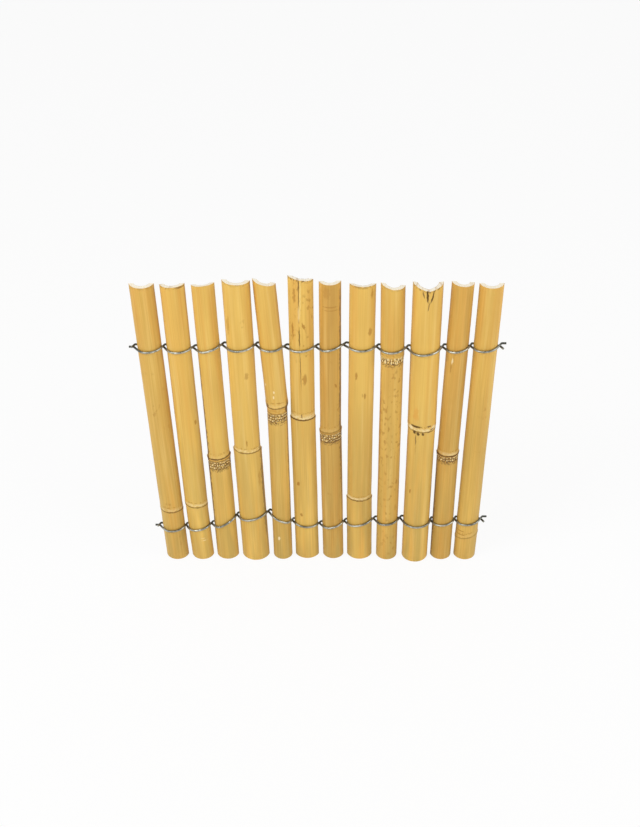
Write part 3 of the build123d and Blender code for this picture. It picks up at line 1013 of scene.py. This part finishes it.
place_canes()
cane_group = cane_tree()
for number, (cane, look) in enumerate(zip(CANES, LOOKS), start=1):
    node = f"cane_{number:02d}"
    piece = grow(f"{node}_stalk", bpy.data.meshes.new(node), cane_group, {
        "Foot Centre": cane.foot_x,
        "Top Centre": cane.top_x,
        "Bow": cane.bow,
        "Node Height": cane.node,
        "Cut Height": CANE_LENGTH + cane.top,
        "Lower Width": cane.foot_width,
        "Upper Width": cane.top_width,
        "Depth": cane.depth,
        "Side Slope": math.tan(math.radians(cane.side_slope)),
        "Front Slope": math.tan(math.radians(cane.front_slope)),
        "Notch": look.notch * MM,
        "Raggedness": look.ragged * MM,
        "Ring Share": look.ring,
        "Node Tilt": math.tan(math.radians(look.tilt)),
        "Root Drop": look.root_drop * MM,
        "Root Length": look.root_length,
        "Crack Across": look.crack_across * MM,
        "Crack Foot": look.crack_foot * MM,
        "Crack Depth": look.crack * MM,
        "Seed": number * SHAPE_SEED_STEP,
        "Root Rows": look.roots,
        "Skin": cane_skin(number, cane, look),
    })
    add_piece(piece, node)

wire_group = wire_tree()
zinc = zinc_wire()
for row_name, row, sag in (("lower", LOWER_ROW, LOWER_SAG), ("upper", UPPER_ROW, UPPER_SAG)):
    for strand, first_front in (("first", True), ("second", False)):
        node = f"{row_name}_wire_{strand}"
        points, radii = wire_route(row, sag, first_front)
        piece = grow(f"{node}_strand", corner_line(node, points, radii), wire_group, {
            "Wire Radius": WIRE_RADIUS,
            "Sides": WIRE_SIDES,
            "Bend Steps": BEND_STEPS,
            "Zinc": zinc,
        })
        add_piece(piece, node)


# Floor, light and camera

FLOOR_SIZE = 8
FLOOR_PAPER = (0.9, 0.9, 0.9, 1)
FLOOR_WHITE = 0.9            # share of plain white in the floor as it is seen
WHITE = (1, 1, 1, 1)
OVERHEAD_GREY = (0.25, 0.25, 0.25, 1)
CAMERA_PLACE = (0.00107, -0.497, 0.4696)
CAMERA_TILT = 37.57          # degrees below level
LENS_LENGTH = 61.55          # millimetres, as is the sensor's width
SENSOR_WIDTH = 36


def white_floor():
    """A white floor that takes a faint shadow."""
    bpy.ops.mesh.primitive_plane_add(size=FLOOR_SIZE)
    floor = bpy.context.object
    floor.name = "floor"
    material, tree = new_material("white_floor")
    rays = tree.add("ShaderNodeLightPath")
    seen = rays["Is Camera Ray"].higher_of(rays["Is Glossy Ray"]).higher_of(rays["Is Transmission Ray"])
    paper = tree.add("ShaderNodeBsdfDiffuse", None, {"Color": FLOOR_PAPER})
    white = tree.add("ShaderNodeEmission", None, {"Color": WHITE, "Strength": 1.0})
    mixed = tree.add("ShaderNodeMixShader", None, {0: seen * FLOOR_WHITE, 1: paper, 2: white})
    tree.fill(material.node_tree.nodes["Material Output"], {"Surface": mixed})
    floor.data.materials.append(material)


def area_light(name, place, target, size, power):
    """A square lamp that faces its target."""
    lamp = bpy.data.lights.new(name, "AREA")
    lamp.size = size
    lamp.energy = power
    holder = bpy.data.objects.new(name, lamp)
    holder.location = place
    holder.rotation_euler = (Vector(target) - Vector(place)).to_track_quat("-Z", "Y").to_euler()
    bpy.context.scene.collection.objects.link(holder)


def pale_sky():
    """Soft light from all round, white near the floor and greyer overhead."""
    world = bpy.data.worlds.new("pale_sky")
    world.use_nodes = True
    tree = Tree(world.node_tree)
    direction = tree.add("ShaderNodeTexCoord")["Generated"]
    height = tree.add("ShaderNodeSeparateXYZ", None, {0: direction})["Z"]
    colour = tree.blend(height.ramp(0.3, 0.9), WHITE, OVERHEAD_GREY)
    tree.fill(world.node_tree.nodes["Background"], {"Color": colour})
    bpy.context.scene.world = world


white_floor()
pale_sky()
area_light("window", place=(-0.38, -0.26, 0.53), target=(0, 0, 0.12), size=0.3, power=1.7)
area_light("doorway", place=(0.48, -0.20, 0.42), target=(0, 0, 0.10), size=0.4, power=1.2)

lens = bpy.data.cameras.new("camera")
lens.lens = LENS_LENGTH
lens.sensor_width = SENSOR_WIDTH
lens.clip_start = 0.01
camera = bpy.data.objects.new("camera", lens)
camera.location = CAMERA_PLACE
camera.rotation_euler = (math.radians(90 - CAMERA_TILT), 0, 0)
bpy.context.scene.collection.objects.link(camera)
bpy.context.scene.camera = camera
bpy.context.scene.view_settings.view_transform = "Standard"
